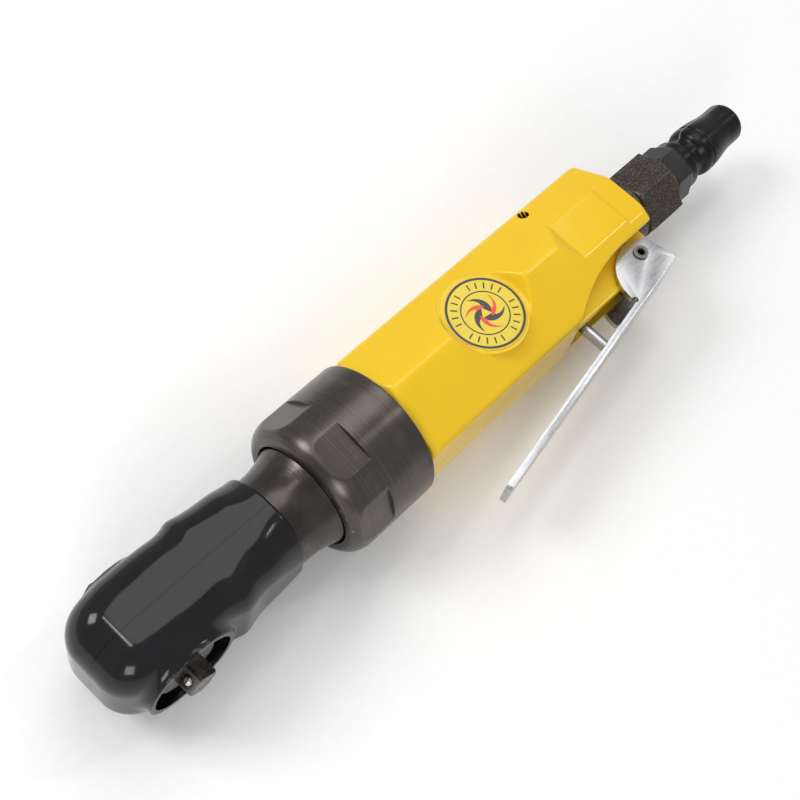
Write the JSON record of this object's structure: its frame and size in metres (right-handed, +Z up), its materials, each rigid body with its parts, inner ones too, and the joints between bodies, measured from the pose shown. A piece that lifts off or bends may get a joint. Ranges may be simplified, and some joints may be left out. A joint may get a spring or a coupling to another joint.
{
  "type": "air ratchet",
  "caption": "Compact pneumatic ratchet wrench with hexagonal motor housing, rubber-booted square-drive head, squeeze lever and air plug.",
  "frame": {"origin": "where the square drive's axis crosses the tool's long axis, inside the ratchet head", "axes": "+X along the tool from the head to the air plug, -Y along the drive axis out of the square drive, +Z up through the badge, the tool lying on its side"},
  "size_m": [0.2436, 0.0549, 0.0394],
  "materials": {
    "yellow_paint": "gloss",
    "badge_face": "gloss",
    "black_oxide": "satin",
    "black_casting": "satin",
    "boot_rubber": "gloss",
    "hard_steel": "polished",
    "spring_steel": "satin",
    "bronze": "satin",
    "gear_steel": "machined",
    "plate_iron": "machined",
    "seal_rubber": "matte",
    "plug_oxide": "satin",
    "anvil_oxide": "satin",
    "vane_fibre": "matte",
    "lever_chrome": "satin"
  },
  "bodies": {
    "tool_body": {"motor_housing": "yellow_paint", "badge_plate": "badge_face", "clamp_nut": "black_oxide", "ratchet_housing": "black_casting", "protective_boot": "boot_rubber", "thrust_plate": "hard_steel", "retaining_ring": "spring_steel", "crank_bushing": "bronze", "ring_gear": "gear_steel", "front_end_plate": "plate_iron", "front_bearing": "hard_steel", "motor_cylinder": "plate_iron", "rear_end_plate": "plate_iron", "rear_bearing": "hard_steel", "motor_gasket": "seal_rubber", "stem_bushing": "bronze", "stem_o_ring": "seal_rubber", "valve_spring": "spring_steel", "valve_seat": "bronze", "inlet_gasket": "seal_rubber", "inlet_bushing": "black_oxide", "inlet_screen": "bronze", "air_plug": "plug_oxide", "lever_pin": "black_oxide"},
    "lever": {"throttle_lever": "lever_chrome"},
    "stem": {"valve_stem": "lever_chrome"},
    "valve": {"throttle_valve": "hard_steel"},
    "rotor": {"rotor": "gear_steel", "vanes": "vane_fibre"},
    "crank": {"crankshaft": "gear_steel", "drive_bushing": "bronze", "planet_pins": "hard_steel"},
    "planet_1": {"planet_gear_1": "gear_steel"},
    "planet_2": {"planet_gear_2": "gear_steel"},
    "planet_3": {"planet_gear_3": "gear_steel"},
    "yoke": {"yoke": "gear_steel"},
    "drive": {"anvil": "anvil_oxide", "pawl_pin": "hard_steel", "detent_spring": "spring_steel"},
    "pawl": {"pawl": "hard_steel"},
    "knob": {"reversing_knob": "anvil_oxide", "pawl_plunger": "hard_steel", "pawl_spring": "spring_steel"},
    "ball": {"detent_ball": "hard_steel"}
  },
  "joints": [
    {"name": "lever_press", "type": "hinge", "parent": "tool_body", "child": "lever", "pos_m": [0.1624, -0.0138, 0], "axis": [0, 0, -1], "range_deg": [0, 8.5], "stiffness_Nm_per_rad": 0.8, "springref_deg": -3.44},
    {"name": "stem_travel", "type": "slide", "parent": "tool_body", "child": "stem", "axis": [0, 1, 0], "range_m": [0, 0.0037]},
    {"name": "valve_tilt", "type": "hinge", "parent": "tool_body", "child": "valve", "pos_m": [0.148, -0.0045, 0], "axis": [0, 0, -1], "range_deg": [0, 18.5], "deforming": ["valve_spring"]},
    {"name": "rotor_spin", "type": "hinge", "parent": "tool_body", "child": "rotor", "pos_m": [0, 0, 0], "axis": [1, 0, 0], "continuous": true},
    {"name": "crank_spin", "type": "hinge", "parent": "tool_body", "child": "crank", "pos_m": [0, 0, 0], "axis": [1, 0, 0], "continuous": true},
    {"name": "yoke_rock", "type": "hinge", "parent": "tool_body", "child": "yoke", "pos_m": [0, 0, 0], "axis": [0, 1, 0], "range_deg": [-4.4, 4.4]},
    {"name": "drive_spin", "type": "hinge", "parent": "yoke", "child": "drive", "pos_m": [0, 0, 0], "axis": [0, 1, 0], "continuous": true},
    {"name": "reverse_turn", "type": "hinge", "parent": "drive", "child": "knob", "pos_m": [0, 0, 0], "axis": [0, 1, 0], "range_deg": [0, 60]},
    {"name": "pawl_rock", "type": "hinge", "parent": "drive", "child": "pawl", "pos_m": [-0.0052, 0, 0], "axis": [0, 1, 0], "range_deg": [-16.5, 0]},
    {"name": "ball_press", "type": "slide", "parent": "drive", "child": "ball", "axis": [0.8192, 0, -0.5736], "range_m": [0, 0.0007], "stiffness_N_per_m": 300, "springref_m": -0.0006, "deforming": ["detent_spring"]},
    {"name": "planet_1_spin", "type": "hinge", "parent": "crank", "child": "planet_1", "pos_m": [0.066, 0, 0.00743], "axis": [1, 0, 0], "continuous": true},
    {"name": "planet_2_spin", "type": "hinge", "parent": "crank", "child": "planet_2", "pos_m": [0.066, -0.00643, -0.00371], "axis": [1, 0, 0], "continuous": true},
    {"name": "planet_3_spin", "type": "hinge", "parent": "crank", "child": "planet_3", "pos_m": [0.066, 0.00643, -0.00371], "axis": [1, 0, 0], "continuous": true}
  ],
  "couplings": [
    {"joint": "stem_travel", "follows": "lever_press", "m_per_rad": 0.0246},
    {"joint": "valve_tilt", "follows": "lever_press", "ratio": 2.14},
    {"joint": "crank_spin", "follows": "rotor_spin", "ratio": 0.22222},
    {"joint": "planet_1_spin", "follows": "rotor_spin", "ratio": -0.62222},
    {"joint": "planet_2_spin", "follows": "rotor_spin", "ratio": -0.62222},
    {"joint": "planet_3_spin", "follows": "rotor_spin", "ratio": -0.62222},
    {"joint": "pawl_rock", "follows": "reverse_turn", "ratio": -0.27333}
  ]
}
